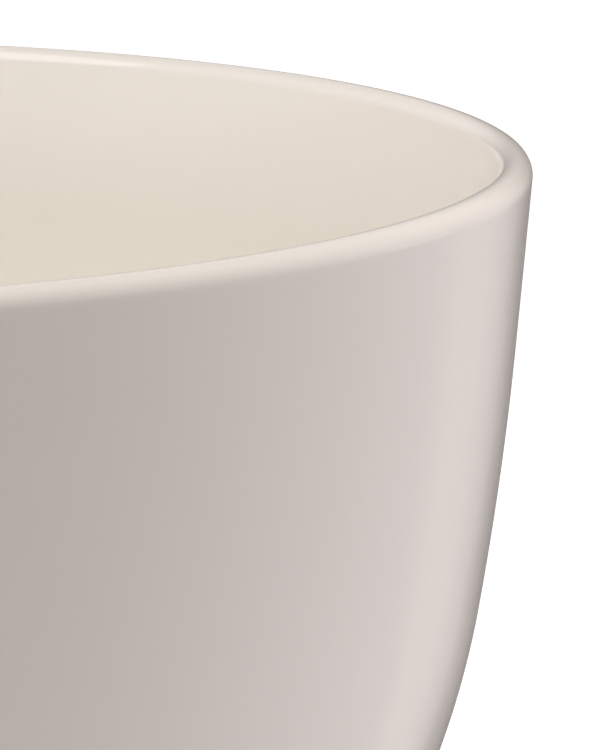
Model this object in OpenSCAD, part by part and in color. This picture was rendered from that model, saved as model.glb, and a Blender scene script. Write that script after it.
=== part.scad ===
// Latte bowl: a deep round bowl of fired clay under three coats of glaze.
// The outside is a slightly flared wall that turns in through three tangent
// curves to a foot ring. Heights run up from the table, depths down from the rim.

/* [Rim] */
// Width across the rim, over the glaze
rim_d = 130; // [112:1:150]
// Height from the table to the top of the lip
height = 71; // [64:0.5:82]
// Thickness of the lip and the wall, over the glaze
wall_t = 2.4; // [2:0.1:3.4]
// Radius of the lip's outer edge
lip_edge_r = 1.3; // [0.9:0.05:1.5]

/* [Wall] */
// Lean of the straight wall below the lip, in degrees from upright
flare_angle = 5.8; // [2:0.1:9]
// Depth below the rim where the straight wall ends
flare_h = 13; // [8:0.5:22]
// Radius of the long curve under the straight wall
shoulder_r = 225; // [150:5:400]
// Depth below the rim where the long curve ends
shoulder_h = 31.5; // [26:0.5:36]
// Radius of the belly curve
belly_r = 60; // [48:1:90]
// Depth below the rim where the belly curve ends
belly_h = 43; // [39:0.5:47]
// Extra thickness that the wall would gain by the bottom of the heel curve
heel_gain = 1.5; // [0.6:0.05:2.1]
// Thickness of the floor at its middle
floor_t = 4.2; // [3.4:0.1:5]

/* [Foot] */
// Width across the foot ring, over the glaze
foot_d = 66; // [56:1:74]
// Height from the table to the level underside of the bowl
foot_h = 5.5; // [5:0.1:7]
// Width of the foot ring's wall
foot_w = 4; // [3:0.1:6]
// Radius of the hollow where the bowl runs into the foot ring
foot_fillet_r = 2.2; // [1.2:0.1:3]
// Radius of the foot ring's two bottom edges
foot_edge_r = 0.8; // [0.4:0.05:1.1]
// Height from the table to the roof of the recess under the bowl
recess_h = 3.3; // [3.2:0.1:4]
// Radius of the corner inside the recess
recess_fillet_r = 1.3; // [0.8:0.1:1.5]

/* [Glaze] */
// Thickness of each coat of glaze
glaze_t = 0.35; // [0.25:0.01:0.5]
// Depth below the rim where the inside coat meets the outside coat
seam_h = 2.2; // [1.9:0.1:4]
// Bare band between the glaze and the table
bare_h = 1.4; // [1.2:0.1:1.5]

/* [Hidden] */
$fa = 1.5;
$fs = 0.3;

// Furthest that a straight step may lie inside the true curve
curve_sag = 0.006;

// Slopes are in degrees from upright: the way out of the wall, and the way down it
function out_of(a) = [cos(a), -sin(a)];
function down(a) = [-sin(a), -cos(a)];
// Slope at the end of a curve that starts at slope a and drops by h
function slope_after(a, h, r) = asin(sin(a) + h / r);
// Points round centre c from slope a to slope b; a hollow curve has a negative radius
function arc(c, r, a, b) =
    let (steps = max(2, ceil(abs(b - a) / (2 * acos(1 - curve_sag / abs(r))))))
    [for (i = [0 : steps]) c + r * out_of(a + (b - a) * i / steps)];
function backwards(points) = [for (i = [len(points) - 1 : -1 : 0]) points[i]];

// Slopes of surfaces that face the axis, the sky, outwards and the table
inwards = -180;
upwards = -90;
outwards = 0;
downwards = 90;

// Slopes where the outer curves meet
shoulder_end = slope_after(flare_angle, shoulder_h - flare_h, shoulder_r);
belly_end = slope_after(shoulder_end, belly_h - shoulder_h, belly_r);

// The heel curve comes level at the underside of the bowl
heel_r = (height - foot_h - belly_h) / (1 - sin(belly_end));

// Outer curves from the lip down
lip_c = [rim_d / 2 - lip_edge_r, height - lip_edge_r];
flare_top = lip_c + lip_edge_r * out_of(flare_angle);
flare_foot = flare_top + (flare_h - height + flare_top[1]) / cos(flare_angle) * down(flare_angle);
seam = flare_top + (seam_h - height + flare_top[1]) / cos(flare_angle) * down(flare_angle);
shoulder_c = flare_foot - shoulder_r * out_of(flare_angle);
belly_c = shoulder_c + (shoulder_r - belly_r) * out_of(shoulder_end);
heel_c = belly_c + (belly_r - heel_r) * out_of(belly_end);

// Inner curves run along the outer ones, but the heel is tighter, so the wall thickens there
in_lip_r = wall_t - lip_edge_r;
in_lip_c = [lip_c[0], height - in_lip_r];
in_shoulder_r = shoulder_r - wall_t;
in_belly_r = belly_r - wall_t;
in_heel_r = heel_r - wall_t - heel_gain / (1 - sin(belly_end));
in_heel_c = belly_c + (in_belly_r - in_heel_r) * out_of(belly_end);

// The floor is a shallow dish about the bowl's axis, tangent to the inner heel curve
heel_rise = in_heel_c[1] - recess_h - floor_t;
floor_r = (pow(in_heel_c[0], 2) + pow(heel_rise, 2) - pow(in_heel_r, 2)) / (2 * (heel_rise - in_heel_r));
floor_c = [0, recess_h + floor_t + floor_r];
floor_start = acos(in_heel_c[0] / (floor_r - in_heel_r));

// Foot ring and the recess inside it
foot_r = foot_d / 2;
recess_r = foot_r - foot_w;
recess_c = [recess_r, recess_h] - recess_fillet_r * [1, 1];
fillet_reach = max(0, foot_r + foot_fillet_r - heel_c[0]);
heel_end = acos(fillet_reach / (heel_r + foot_fillet_r));
foot_fillet_c = [foot_r + foot_fillet_r, heel_c[1] - (heel_r + foot_fillet_r) * sin(heel_end)];

// Outside of the bowl from the seam to the foot ring, drawn in by s
function outside(s) = concat(
    [seam - s * out_of(flare_angle)],
    arc(shoulder_c, shoulder_r - s, flare_angle, shoulder_end),
    arc(belly_c, belly_r - s, shoulder_end, belly_end),
    arc(heel_c, heel_r - s, belly_end, heel_end),
    arc(foot_fillet_c, -foot_fillet_r - s, heel_end, outwards));

// Inside of the bowl from the axis over the lip to the seam, sunk by s into the wall
function inside(s) = concat(
    arc(floor_c, floor_r + s, downwards, floor_start),
    arc(in_heel_c, in_heel_r + s, floor_start, belly_end),
    arc(belly_c, in_belly_r + s, belly_end, shoulder_end),
    arc(shoulder_c, in_shoulder_r + s, shoulder_end, flare_angle),
    arc(in_lip_c, in_lip_r - s, inwards + flare_angle, upwards),
    arc(lip_c, lip_edge_r - s, upwards, flare_angle),
    [seam - s * out_of(flare_angle)]);

// Recess from its side to the axis, sunk by s into the clay
function recess(s) = concat(
    arc(recess_c, recess_fillet_r + s, outwards, upwards),
    [[0, recess_h + s]]);

// Fired clay: wall, floor and foot ring in one piece, bare where it stands
module clay_body() {
    edge_x = foot_r - glaze_t - foot_edge_r;
    in_edge_x = recess_r + glaze_t + foot_edge_r;
    color("#e3d6c2")
    rotate_extrude() polygon(concat(
        inside(glaze_t),
        outside(glaze_t),
        arc([edge_x, foot_edge_r], foot_edge_r, outwards, downwards),
        arc([in_edge_x, foot_edge_r], foot_edge_r, downwards, -inwards),
        recess(glaze_t)));
}

// Coat over the inside and the lip, down to the seam
module inner_glaze() {
    color("#efe5d8")
    rotate_extrude() polygon(concat(inside(0), backwards(inside(glaze_t))));
}

// Coat over the outside, from the seam to a round end above the table
module outer_glaze() {
    color("#e4dcd6")
    rotate_extrude() polygon(concat(
        outside(0),
        arc([foot_r - glaze_t, bare_h + glaze_t], glaze_t, outwards, downwards),
        backwards(outside(glaze_t))));
}

// Coat over the recess inside the foot ring
module base_glaze() {
    color("#e4dcd6")
    rotate_extrude() polygon(concat(
        recess(glaze_t),
        backwards(recess(0)),
        arc([recess_r + glaze_t, bare_h + glaze_t], glaze_t, -inwards, downwards)));
}

clay_body();
inner_glaze();
outer_glaze();
base_glaze();
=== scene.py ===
# Latte bowl: cream glaze inside and over the lip, warm grey-white glaze outside, set darker than
# the cream as painted shade
import math
import bpy
from mathutils import Matrix, Vector


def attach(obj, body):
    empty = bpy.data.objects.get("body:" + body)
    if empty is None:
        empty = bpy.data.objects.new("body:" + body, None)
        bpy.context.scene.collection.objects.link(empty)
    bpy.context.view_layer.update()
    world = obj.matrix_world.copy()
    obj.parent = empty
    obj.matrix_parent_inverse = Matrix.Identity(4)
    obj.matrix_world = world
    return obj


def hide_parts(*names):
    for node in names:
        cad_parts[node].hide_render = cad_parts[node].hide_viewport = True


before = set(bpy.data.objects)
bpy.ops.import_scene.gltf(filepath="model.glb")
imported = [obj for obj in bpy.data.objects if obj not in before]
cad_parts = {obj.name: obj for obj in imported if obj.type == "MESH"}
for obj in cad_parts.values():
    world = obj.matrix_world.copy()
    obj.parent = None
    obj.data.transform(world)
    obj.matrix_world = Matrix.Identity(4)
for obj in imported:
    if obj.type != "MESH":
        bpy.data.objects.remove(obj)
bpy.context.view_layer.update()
scene = bpy.context.scene
millimetre = 0.001


# A wrapped socket does sums, and one method makes every other node
class Wire:
    def __init__(self, tree, made, socket):
        self.tree, self.made, self.socket = tree, made, socket

    def other(self, name):  # another output of the same node
        return Wire(self.tree, self.made, self.made.outputs[name])

    def maths(self, operation, first, second):
        return self.tree.node("ShaderNodeMath", {"operation": operation}, {0: first, 1: second})

    def __add__(self, value): return self.maths("ADD", self, value)
    def __radd__(self, value): return self.maths("ADD", value, self)
    def __sub__(self, value): return self.maths("SUBTRACT", self, value)
    def __rsub__(self, value): return self.maths("SUBTRACT", value, self)
    def __mul__(self, value): return self.maths("MULTIPLY", self, value)
    def __rmul__(self, value): return self.maths("MULTIPLY", value, self)
    def __truediv__(self, value): return self.maths("DIVIDE", self, value)
    def __rtruediv__(self, value): return self.maths("DIVIDE", value, self)
    def __pow__(self, value): return self.maths("POWER", self, value)
    def atLeast(self, value): return self.maths("MAXIMUM", self, value)
    def above(self, value): return self.maths("GREATER_THAN", self, value)

    def wholePart(self):
        return self.tree.node("ShaderNodeMath", {"operation": "FLOOR"}, {0: self})

    def fade(self, low, high):  # 0 at low, 1 at high, smooth between
        return self.tree.node("ShaderNodeMapRange", {"interpolation_type": "SMOOTHSTEP"},
                              {"Value": self, "From Min": low, "From Max": high})


class Tree:
    def __init__(self, nodeTree):
        self.nodeTree = nodeTree

    def node(self, kind, settings=None, inputs=None, output=0):
        made = self.nodeTree.nodes.new(kind)
        for name, value in (settings or {}).items():
            setattr(made, name, value)
        for name, value in (inputs or {}).items():
            if isinstance(value, Wire):
                self.nodeTree.links.new(value.socket, made.inputs[name])
            else:
                made.inputs[name].default_value = value
        return Wire(self, made, made.outputs[output] if made.outputs else None)

    def vector(self, operation, first, second=(0, 0, 0), output="Vector"):
        return self.node("ShaderNodeVectorMath", {"operation": operation},
                         {0: first, 1: second}, output)

    def blend(self, factor, first, second):  # colours, which a Mix node has on sockets 6 and 7
        return self.node("ShaderNodeMix", {"data_type": "RGBA"},
                         {0: factor, 6: first, 7: second}, output=2)

    def noise(self, place, scale, detail):
        return self.node("ShaderNodeTexNoise",
                         inputs={"Vector": place, "Scale": scale, "Detail": detail})


def rgb(red, green, blue):  # screen colour, 0 to 255, as a linear colour
    def linear(c):
        c /= 255
        return c / 12.92 if c <= 0.04045 else ((c + 0.055) / 1.055) ** 2.4
    return (linear(red), linear(green), linear(blue), 1)


def degrees(pair):
    return [math.radians(angle) for angle in pair]


# Where the photograph was taken from, aimed at the bowl's right side
cameraSettings = {
    "distance": 0.65,           # metres from the middle of the rim
    "elevation": 8.316,         # degrees above the rim
    "roll": 1.123,              # degrees
    "rimHeight": 0.071,
    "picture": (600, 750),      # pixels
    "rimPixel": (-403.21, 160.39),  # where the middle of the rim falls, left of the picture
    "focalPixels": 9332.4,
    "sensor": 36,               # millimetres along the picture's longer side
    "clip": (0.05, 20),
}


def makeCamera(s):
    elevation, roll = degrees((s["elevation"], s["roll"]))
    target = Vector((0, 0, s["rimHeight"]))
    place = target + s["distance"] * Vector((0, -math.cos(elevation), math.sin(elevation)))
    forward = (target - place).normalized()
    right = forward.cross(Vector((0, 0, 1))).normalized()
    up = right.cross(forward)
    base = Matrix((right, up, forward))
    rolled = Matrix(((math.cos(roll), -math.sin(roll), 0),
                     (math.sin(roll), math.cos(roll), 0),
                     (0, 0, 1)))
    width, height = s["picture"]
    u, v = s["rimPixel"]
    aim = Vector((u - width / 2, height / 2 - v, s["focalPixels"])).normalized()
    turn = Vector((0, 0, 1)).rotation_difference(aim).to_matrix()
    world = turn @ rolled @ base
    camera = bpy.data.objects.new("camera", bpy.data.cameras.new("camera"))
    scene.collection.objects.link(camera)
    local = Matrix((world[0], world[1], -world[2])).transposed()
    camera.matrix_world = Matrix.Translation(place) @ local.to_4x4()
    camera.data.sensor_width = s["sensor"]
    camera.data.lens = s["sensor"] * s["focalPixels"] / height
    camera.data.clip_start, camera.data.clip_end = s["clip"]
    scene.camera = camera


makeCamera(cameraSettings)
print("camera placed")


# One material for each finish
def newFinish(name):
    material = bpy.data.materials.new(name)
    material.use_nodes = True
    material.node_tree.nodes.clear()
    return material, Tree(material.node_tree)


# Heights and radii in metres
creamSettings = {
    "deep": rgb(236, 229, 221), "pale": rgb(239, 232, 225),  # mottled between these two
    "mottleScale": 55, "driftScale": 14, "mottleShare": 0.6,
    # painted shade: the inner wall darker lower down, paler towards the rim
    "paintedLowShading": rgb(229, 222, 212), "paintedLowShadingHeights": (0.058, 0.071),
    # the lip tone: partly the glaze lying less deep over the edge, partly painted shade that dims
    # the light on the crest and outer half
    "lip": rgb(227, 218, 208), "lipHeights": (0.065, 0.067), "lipRadii": (0.0624, 0.0636),
    # this tone: partly the outside coat showing through above the seam, partly painted shade on the
    # lip's outer roll
    "overlapShade": rgb(203, 195, 190),
    "overlapHeights": (0.0693, 0.0708), "overlapRadii": (0.0634, 0.0639),
    "roughness": 0.09, "roughnessSpread": 0.04, "ior": 1.5,
    "peelScale": 420, "peelStrength": 0.25, "peelDepth": 0.00001,
}
# The outside coat: a warm grey set darker than the cream inside, as painted shade on the outside
# wall
greyShadedSettings = {
    **creamSettings,
    "deep": rgb(201, 193, 188), "pale": rgb(205, 197, 192), "lip": rgb(203, 195, 190),
    # painted light: the outside wall paler towards the foot, where the white table's light bounces
    # up
    "paintedLowShading": rgb(212, 205, 200), "paintedLowShadingHeights": (0.015, 0.066),
}


def glaze(name, s):
    material, tree = newFinish(name)
    place = tree.node("ShaderNodeTexCoord", output="Object")
    height = tree.node("ShaderNodeSeparateXYZ", inputs={0: place}, output="Z")
    radius = tree.vector("LENGTH", tree.vector("MULTIPLY", place, (1, 1, 0)), output="Value")
    mottle = tree.noise(place, s["mottleScale"], 3)
    drift = tree.noise(place, s["driftScale"], 1)
    cloudy = mottle * s["mottleShare"] + drift * (1 - s["mottleShare"])
    paintedLowShading = 1 - height.fade(*s["paintedLowShadingHeights"])  # painted shading low on the coat: the tone changes towards the bottom
    onLip = height.fade(*s["lipHeights"])
    thinAndShaded = radius.fade(*s["lipRadii"]) * onLip  # darker over the lip's crest and outer half: partly the glaze lying less deep over the edge, partly painted shade on the lit lip
    # The outside coat shows through just above the seam, and its darker tone up the lip's outer
    # roll is also painted shade there
    overlapShade = radius.fade(*s["overlapRadii"]) * (onLip - height.fade(*s["overlapHeights"]))
    tone = tree.blend(cloudy, s["deep"], s["pale"])
    tone = tree.blend(paintedLowShading, tone, s["paintedLowShading"])
    tone = tree.blend(thinAndShaded, tone, s["lip"])
    tone = tree.blend(overlapShade, tone, s["overlapShade"])
    bump = tree.node("ShaderNodeBump", inputs={
        "Strength": s["peelStrength"], "Distance": s["peelDepth"],
        "Height": tree.noise(place, s["peelScale"], 1)})
    shader = tree.node("ShaderNodeBsdfPrincipled", inputs={
        "Base Color": tone,
        "Roughness": s["roughness"] + mottle * s["roughnessSpread"],
        "IOR": s["ior"],
        "Normal": bump})
    tree.node("ShaderNodeOutputMaterial", inputs={"Surface": shader})
    return material


# Bare where the bowl stands: sandy, with darker flecks
claySettings = {
    "dark": rgb(196, 180, 156), "light": rgb(224, 212, 192),
    "grainScale": 2200, "cloudScale": 90, "grainShare": 0.7,
    "fleck": rgb(132, 108, 84), "fleckScale": 900, "fleckEdge": (0.06, 0.16), "fleckShare": 0.55,
    "roughness": 0.78, "roughnessSpread": 0.12, "grainStrength": 0.6, "grainDepth": 0.00006,
}


def barePottery(s):
    material, tree = newFinish("firedClay")
    place = tree.node("ShaderNodeTexCoord", output="Object")
    grain = tree.noise(place, s["grainScale"], 4)
    cloud = tree.noise(place, s["cloudScale"], 2)
    cells = tree.node("ShaderNodeTexVoronoi", inputs={"Vector": place, "Scale": s["fleckScale"]})
    fleck = 1 - cells.fade(*s["fleckEdge"])
    sandy = grain * s["grainShare"] + cloud * (1 - s["grainShare"])
    tone = tree.blend(sandy, s["dark"], s["light"])
    tone = tree.blend(fleck * s["fleckShare"], tone, s["fleck"])
    bump = tree.node("ShaderNodeBump", inputs={
        "Strength": s["grainStrength"], "Distance": s["grainDepth"], "Height": grain})
    shader = tree.node("ShaderNodeBsdfPrincipled", inputs={
        "Base Color": tone,
        "Roughness": s["roughness"] + grain * s["roughnessSpread"],
        "Normal": bump})
    tree.node("ShaderNodeOutputMaterial", inputs={"Surface": shader})
    return material


creamGlaze = glaze("creamGlaze", creamSettings)
greyShadedGlaze = glaze("warmGreyShadedGlaze", greyShadedSettings)
firedClay = barePottery(claySettings)
print("finishes mixed")

# The bowl's section, in millimetres, with the same curves as the solids
bowlShape = {
    "rimWidth": 130, "height": 71, "wall": 2.4, "lipEdge": 1.3,
    "flareLean": 5.8, "flareDepth": 13, "shoulderRadius": 225, "shoulderDepth": 31.5,
    "bellyRadius": 60, "bellyDepth": 43, "heelGain": 1.5, "floor": 4.2,
    "footWidth": 66, "footHeight": 5.5, "footWall": 4, "footFillet": 2.2, "footEdge": 0.8,
    "recessHeight": 3.3, "recessFillet": 1.3,
    "coat": 0.35, "seamDepth": 2.2, "bareBand": 1.4,
    "bead": 0.12, "beadRise": 0.55, "beadSpread": 0.4,  # a roll of glaze above the bare band
    "footSteps": 12,            # up the straight side of the foot ring
    "sag": 0.003,               # furthest that a step lies inside the true curve
    "fewestSteps": 3,           # round any curve
}
inwards, upwards, outwards, downwards = -math.pi, -math.pi / 2, 0, math.pi / 2


def outOf(lean):  # the way out of a surface that leans by an angle
    return Vector((math.cos(lean), -math.sin(lean)))


def downAlong(lean):
    return Vector((-math.sin(lean), -math.cos(lean)))


def arc(centre, radius, start, end):
    step = 2 * math.acos(1 - bowlShape["sag"] / abs(radius))
    count = max(bowlShape["fewestSteps"], math.ceil(abs(end - start) / step))
    return [centre + radius * outOf(start + (end - start) * i / count) for i in range(count + 1)]


def bowlSections(s):
    lean = math.radians(s["flareLean"])
    rim, top = s["rimWidth"] / 2, s["height"]
    shoulderDrop = s["shoulderDepth"] - s["flareDepth"]
    bellyDrop = s["bellyDepth"] - s["shoulderDepth"]
    shoulderEnd = math.asin(math.sin(lean) + shoulderDrop / s["shoulderRadius"])
    bellyEnd = math.asin(math.sin(shoulderEnd) + bellyDrop / s["bellyRadius"])
    heelRadius = (top - s["footHeight"] - s["bellyDepth"]) / (1 - math.sin(bellyEnd))

    lip = Vector((rim - s["lipEdge"], top - s["lipEdge"]))
    flareTop = lip + s["lipEdge"] * outOf(lean)

    def onFlare(depth):  # the point of the straight wall at a depth below the rim
        return flareTop + (depth - top + flareTop.y) / math.cos(lean) * downAlong(lean)

    seam = onFlare(s["seamDepth"])
    shoulder = onFlare(s["flareDepth"]) - s["shoulderRadius"] * outOf(lean)
    belly = shoulder + (s["shoulderRadius"] - s["bellyRadius"]) * outOf(shoulderEnd)
    heel = belly + (s["bellyRadius"] - heelRadius) * outOf(bellyEnd)

    innerLipRadius = s["wall"] - s["lipEdge"]
    innerLip = Vector((lip.x, top - innerLipRadius))
    innerHeelRadius = heelRadius - s["wall"] - s["heelGain"] / (1 - math.sin(bellyEnd))
    innerHeel = belly + (s["bellyRadius"] - s["wall"] - innerHeelRadius) * outOf(bellyEnd)
    floorHeight = s["recessHeight"] + s["floor"]
    rise = innerHeel.y - floorHeight
    dish = (innerHeel.x ** 2 + rise ** 2 - innerHeelRadius ** 2) / (2 * (rise - innerHeelRadius))
    dishCentre = Vector((0, floorHeight + dish))
    floorStart = math.acos(innerHeel.x / (dish - innerHeelRadius))

    foot, recessSide = s["footWidth"] / 2, s["footWidth"] / 2 - s["footWall"]
    corner = Vector((recessSide - s["recessFillet"], s["recessHeight"] - s["recessFillet"]))
    filletReach = heelRadius + s["footFillet"]
    heelEnd = math.acos((foot + s["footFillet"] - heel.x) / filletReach)
    fillet = Vector((foot + s["footFillet"], heel.y - filletReach * math.sin(heelEnd)))

    def inside(d):  # from the axis over the lip to the seam, sunk by d into the wall
        return (arc(dishCentre, dish + d, downwards, floorStart)
                + arc(innerHeel, innerHeelRadius + d, floorStart, bellyEnd)
                + arc(belly, s["bellyRadius"] - s["wall"] + d, bellyEnd, shoulderEnd)
                + arc(shoulder, s["shoulderRadius"] - s["wall"] + d, shoulderEnd, lean)
                + arc(innerLip, innerLipRadius - d, inwards + lean, upwards)
                + arc(lip, s["lipEdge"] - d, upwards, lean)
                + [seam - d * outOf(lean)])

    def outside(d):  # from the seam down to the foot ring
        return ([seam - d * outOf(lean)]
                + arc(shoulder, s["shoulderRadius"] - d, lean, shoulderEnd)
                + arc(belly, s["bellyRadius"] - d, shoulderEnd, bellyEnd)
                + arc(heel, heelRadius - d, bellyEnd, heelEnd)
                + arc(fillet, -s["footFillet"] - d, heelEnd, outwards))

    def recess(d):  # from the foot ring's inner side to the axis
        return (arc(corner, s["recessFillet"] + d, outwards, upwards)
                + [Vector((0, s["recessHeight"] + d))])

    coat, edge, bare = s["coat"], s["footEdge"], s["bareBand"]
    outerEdge = Vector((foot - coat - edge, edge))
    innerEdge = Vector((recessSide + coat + edge, edge))
    outerEnd = arc(Vector((foot - coat, bare + coat)), coat, outwards, downwards)
    innerEnd = arc(Vector((recessSide + coat, bare + coat)), coat, downwards, -inwards)
    side = fillet.y - bare - coat
    straight = [Vector((foot, bare + coat + side * (1 - i / s["footSteps"])))
                for i in range(1, s["footSteps"])]
    beaded = []  # the coat rolls up a little where it was wiped off above the table
    for point in straight + outerEnd:
        roll = s["bead"] * math.exp(-((point.y - bare - s["beadRise"]) / s["beadSpread"]) ** 2)
        beaded.append(point + Vector((roll, 0)))
    return {
        "clay": (inside(coat) + outside(coat) + arc(outerEdge, edge, outwards, downwards)
                 + arc(innerEdge, edge, downwards, -inwards) + recess(coat)),
        "inside": inside(0) + inside(coat)[::-1],
        "outside": outside(0) + beaded + outside(coat)[::-1] + outside(0)[:1],
        "base": recess(coat)[::-1] + innerEnd[::-1] + recess(0),
    }


# One node tree turns a section about the bowl's axis
turningSettings = {
    "stepsRound": 360,
    "warp": 0.00006,            # how far the fired wall strays from a true round, in metres
    "warpSize": 0.045,
    "seed": 7,
    "weld": 0.000001,           # points this close are made one, in metres
    "crease": 40,               # edges that turn by more than this stay sharp, in degrees
}


def turningTree(s):
    group = bpy.data.node_groups.new("turnedBowl", "GeometryNodeTree")
    sockets = {}
    for name, kind in (("Section", "Geometry"), ("Steps Round", "Int"), ("Warp", "Float"),
                       ("Warp Size", "Float"), ("Seed", "Int"), ("Finish", "Material")):
        made = group.interface.new_socket(name, in_out="INPUT", socket_type="NodeSocket" + kind)
        sockets[name] = made.identifier
    group.interface.new_socket("Bowl", in_out="OUTPUT", socket_type="NodeSocketGeometry")
    tree = Tree(group)
    given = tree.node("NodeGroupInput")
    section, steps = given.other("Section"), given.other("Steps Round")

    # A grid has one column for each step round, and one row for each point of the section
    count = tree.node("GeometryNodeAttributeDomainSize", {"component": "MESH"}, {0: section})
    grid = tree.node("GeometryNodeMeshGrid", inputs={"Vertices X": steps + 1, "Vertices Y": count})
    index = tree.node("GeometryNodeInputIndex")
    column = ((index + 0.5) / count).wholePart()
    row = index - column * count
    place = tree.node("GeometryNodeInputPosition")
    point = tree.node("GeometryNodeSampleIndex", {"data_type": "FLOAT_VECTOR", "domain": "POINT"},
                      {"Geometry": section, "Value": place, "Index": row})
    turned = tree.node("ShaderNodeVectorRotate", {"rotation_type": "Z_AXIS"},
                       {"Vector": point, "Angle": column * (2 * math.pi) / steps})
    surface = tree.node("GeometryNodeSetPosition", inputs={"Geometry": grid, "Position": turned})
    surface = tree.node("GeometryNodeMergeByDistance",
                        inputs={"Geometry": surface, "Distance": s["weld"]})

    # The warp only draws the wall in, most at the rim, so the bowl keeps its width
    noise = tree.node("ShaderNodeTexNoise", {"noise_dimensions": "4D"},
                      {"Vector": place, "W": given.other("Seed"),
                       "Scale": 1 / given.other("Warp Size"), "Detail": 0})
    perRadius = -2 / (bowlShape["rimWidth"] * millimetre)
    inward = tree.node("ShaderNodeVectorMath", {"operation": "SCALE"},
                       {0: tree.vector("MULTIPLY", place, (1, 1, 0)),
                        "Scale": noise * given.other("Warp") * perRadius})
    surface = tree.node("GeometryNodeSetPosition", inputs={"Geometry": surface, "Offset": inward})

    surface = tree.node("GeometryNodeSetShadeSmooth", {"domain": "FACE"}, {"Geometry": surface})
    crease = tree.node("GeometryNodeInputMeshEdgeAngle").above(math.radians(s["crease"]))
    surface = tree.node("GeometryNodeSetShadeSmooth", {"domain": "EDGE"},
                        {"Geometry": surface, "Selection": crease, "Shade Smooth": False})
    surface = tree.node("GeometryNodeRealizeInstances", inputs={"Geometry": surface})
    surface = tree.node("GeometryNodeSetMaterial",
                        inputs={"Geometry": surface, "Material": given.other("Finish")})
    tree.node("NodeGroupOutput", inputs={0: surface})
    return group, sockets


turning, turningSockets = turningTree(turningSettings)


def turnPiece(name, section, finish, s):
    mesh = bpy.data.meshes.new(name)
    points = [(p.x * millimetre, 0, p.y * millimetre) for p in section]
    mesh.from_pydata(points, [(i, i + 1) for i in range(len(points) - 1)], [])
    piece = bpy.data.objects.new(name, mesh)
    scene.collection.objects.link(piece)
    modifier = piece.modifiers.new("turning", "NODES")
    modifier.node_group = turning
    for label, value in (("Steps Round", s["stepsRound"]), ("Warp", s["warp"]),
                         ("Warp Size", s["warpSize"]), ("Seed", s["seed"]), ("Finish", finish)):
        modifier[turningSockets[label]] = value
    graph = bpy.context.evaluated_depsgraph_get()
    baked = bpy.data.meshes.new_from_object(piece.evaluated_get(graph), depsgraph=graph)
    piece.modifiers.remove(modifier)
    piece.data = baked
    return piece


sections = bowlSections(bowlShape)
for name, section, finish, node, slot in (
        ("clayBody", "clay", firedClay, "clay_body", "fired_clay"),
        ("creamCoat", "inside", creamGlaze, "inner_glaze", "cream_glaze"),
        ("greyCoat", "outside", greyShadedGlaze, "outer_glaze", "warm_grey_glaze"),
        ("baseCoat", "base", greyShadedGlaze, "base_glaze", "warm_grey_glaze")):
    piece = turnPiece(name, sections[section], finish, turningSettings)
    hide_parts(node)
    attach(piece, "root")
    print("turned", name, len(piece.data.polygons), "faces")

# A white table, open under the foot to light the recess, and clear from below to show it
floorSettings = {
    "reach": (0.0318, 11),      # inner and outer edge, in metres from the axis
    "level": -0.00005,
    "sides": 96,
    "colour": rgb(222, 221, 219),
    "white": 0.53,              # added for the camera, so the open table is white
    "farWhite": 0.4,            # and more far away, where the lamps are weak
    "farReach": (0.4, 1.4),
    "mirrored": 0.1,            # added for reflections
}


def makeFloor(s):
    mesh = bpy.data.meshes.new("floor")
    count = s["sides"]
    turns = [2 * math.pi * i / count for i in range(count)]
    points = [(math.cos(t) * reach, math.sin(t) * reach, s["level"])
              for reach in s["reach"] for t in turns]
    faces = [(i, i + count, (i + 1) % count + count, (i + 1) % count) for i in range(count)]
    mesh.from_pydata(points, [], faces)
    floor = bpy.data.objects.new("floor", mesh)
    scene.collection.objects.link(floor)
    material, tree = newFinish("whiteTable")
    rays = tree.node("ShaderNodeLightPath")
    mirrored = rays.other("Is Glossy Ray").atLeast(rays.other("Is Transmission Ray"))
    place = tree.node("ShaderNodeTexCoord", output="Object")
    distance = tree.vector("LENGTH", place, output="Value")
    white = distance.fade(*s["farReach"]) * s["farWhite"] + s["white"]
    plain = tree.node("ShaderNodeBsdfDiffuse", inputs={"Color": s["colour"]})
    glow = tree.node("ShaderNodeEmission", inputs={
        "Color": rays.other("Is Camera Ray") * white + mirrored * s["mirrored"]})
    both = tree.node("ShaderNodeAddShader", inputs={0: plain, 1: glow})
    clear = tree.node("ShaderNodeBsdfTransparent")
    under = tree.node("ShaderNodeNewGeometry").other("Backfacing")
    shown = tree.node("ShaderNodeMixShader", inputs={0: under, 1: both, 2: clear})
    tree.node("ShaderNodeOutputMaterial", inputs={"Surface": shown})
    mesh.materials.append(material)


# Soft-edged grey cards behind the bowl, which only reflections see
cardSettings = {
    "corners": {
        "greyCardBelow": [(0.075, -0.005, 0.0005), (1.3, 0.9, 0.0005),
                          (-0.35, 0.9, 0.0005), (0, 0.07, 0.0005)],
        "greyCardBehind": [(1.3, 0.9, 0), (1.3, 0.9, 0.7), (-2.4, 0.9, 0.7), (-2.4, 0.9, 0)],
    },
    "centre": (0.063, -0.015),  # bearings are from here, in degrees to the right of straight behind
    "left": {"greyCardBelow": (-22, -6), "greyCardBehind": (-50, -10)},
    "right": (20.5, 53), "ease": 0.55,
    "top": (0.025, 0.475),      # metres up, and the top climbs to the right
    "climb": 0.225,
    "near": (0.04, 0.09),
    "darkness": 0.87, "tint": (1, 0.92, 0.91, 1),
}


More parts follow.
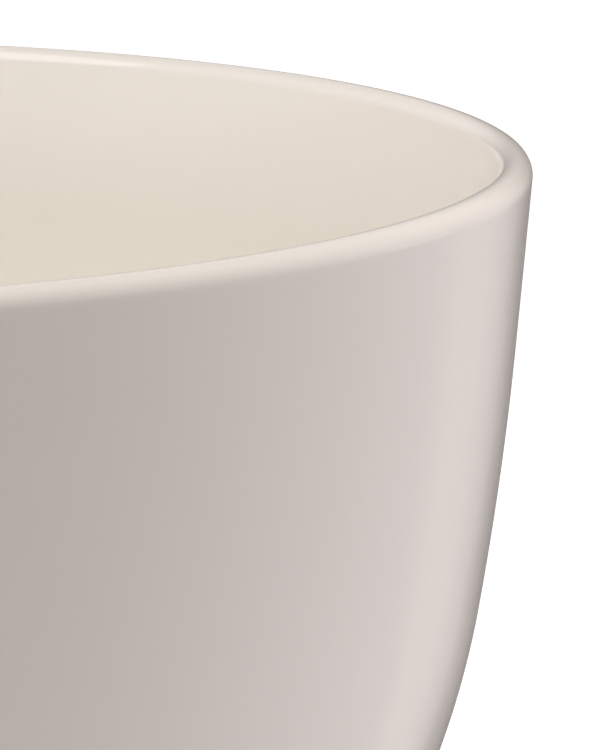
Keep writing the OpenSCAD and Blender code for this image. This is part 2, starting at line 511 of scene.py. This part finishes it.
def makeCard(name, corners, s):
    mesh = bpy.data.meshes.new(name)
    mesh.from_pydata(corners, [], [(0, 1, 2, 3)])
    card = bpy.data.objects.new(name, mesh)
    scene.collection.objects.link(card)
    material, tree = newFinish(name)
    place = tree.node("ShaderNodeTexCoord", output="Object")
    axes = tree.node("ShaderNodeSeparateXYZ", inputs={0: place})
    across, behind = axes.other("X") - s["centre"][0], axes.other("Y") - s["centre"][1]
    bearing = tree.node("ShaderNodeMath", {"operation": "ARCTAN2"}, {0: across, 1: behind})
    distance = (across * across + behind * behind) ** 0.5
    left = bearing.fade(*degrees(s["left"][name]))
    right = 1 - bearing.fade(*degrees(s["right"])) ** s["ease"]
    top = 1 - (axes.other("Z") - bearing * s["climb"]).fade(*s["top"])
    dark = right * left * top * distance.fade(*s["near"]) * s["darkness"]
    shade = tree.node("ShaderNodeEmission",
                      inputs={"Color": tree.blend(dark, s["tint"], rgb(0, 0, 0))})
    tree.node("ShaderNodeOutputMaterial", inputs={"Surface": shade})
    mesh.materials.append(material)
    card.visible_camera = card.visible_diffuse = False
    card.visible_shadow = card.visible_transmission = False


# Places in metres; the panel isn't mirrored, as its edges would show in the lip
lampSettings = {
    "overhead": {"place": (-0.49, -0.47, 0.83), "aim": (0, 0, 0.05), "size": 1.45,
                 "radiance": 2.28, "colour": (1, 1, 1), "mirrored": True},
    "rightPanel": {"place": (0.985, 0.264, 0.2), "aim": (0, 0, 0.05), "size": 0.6,
                   "radiance": 11.3, "colour": (0.985, 0.97, 1), "mirrored": False},
}


def makeLamp(name, s):
    lamp = bpy.data.lights.new(name, "AREA")
    lamp.shape = "DISK"
    lamp.size = s["size"]
    lamp.color = s["colour"]
    lamp.energy = s["radiance"] * math.pi * math.pi * (s["size"] / 2) ** 2
    holder = bpy.data.objects.new(name, lamp)
    holder.location = s["place"]
    facing = Vector(s["aim"]) - Vector(s["place"])
    holder.rotation_euler = facing.to_track_quat("-Z", "Y").to_euler()
    holder.visible_camera = False
    holder.visible_glossy = s["mirrored"]
    scene.collection.objects.link(holder)


# Soft grey light from all round, and white where it is seen or mirrored
skySettings = {"light": 0.245, "colour": (1, 0.985, 0.965, 1)}


def makeSky(s):
    world = bpy.data.worlds.new("sky")
    world.use_nodes = True
    world.node_tree.nodes.clear()
    tree = Tree(world.node_tree)
    rays = tree.node("ShaderNodeLightPath")
    seen = rays.other("Is Camera Ray")
    for kind in ("Is Glossy Ray", "Is Transmission Ray"):
        seen = seen.atLeast(rays.other(kind))
    soft = tree.node("ShaderNodeBackground", inputs={"Color": s["colour"], "Strength": s["light"]})
    white = tree.node("ShaderNodeBackground", inputs={"Color": (1, 1, 1, 1), "Strength": 1})
    mixed = tree.node("ShaderNodeMixShader", inputs={0: seen, 1: soft, 2: white})
    tree.node("ShaderNodeOutputWorld", inputs={"Surface": mixed})
    scene.world = world


makeFloor(floorSettings)
for name, corners in cardSettings["corners"].items():
    makeCard(name, corners, cardSettings)
for name, lamp in lampSettings.items():
    makeLamp(name, lamp)
makeSky(skySettings)
scene.view_settings.view_transform = "Standard"
print("stage and lamps ready")
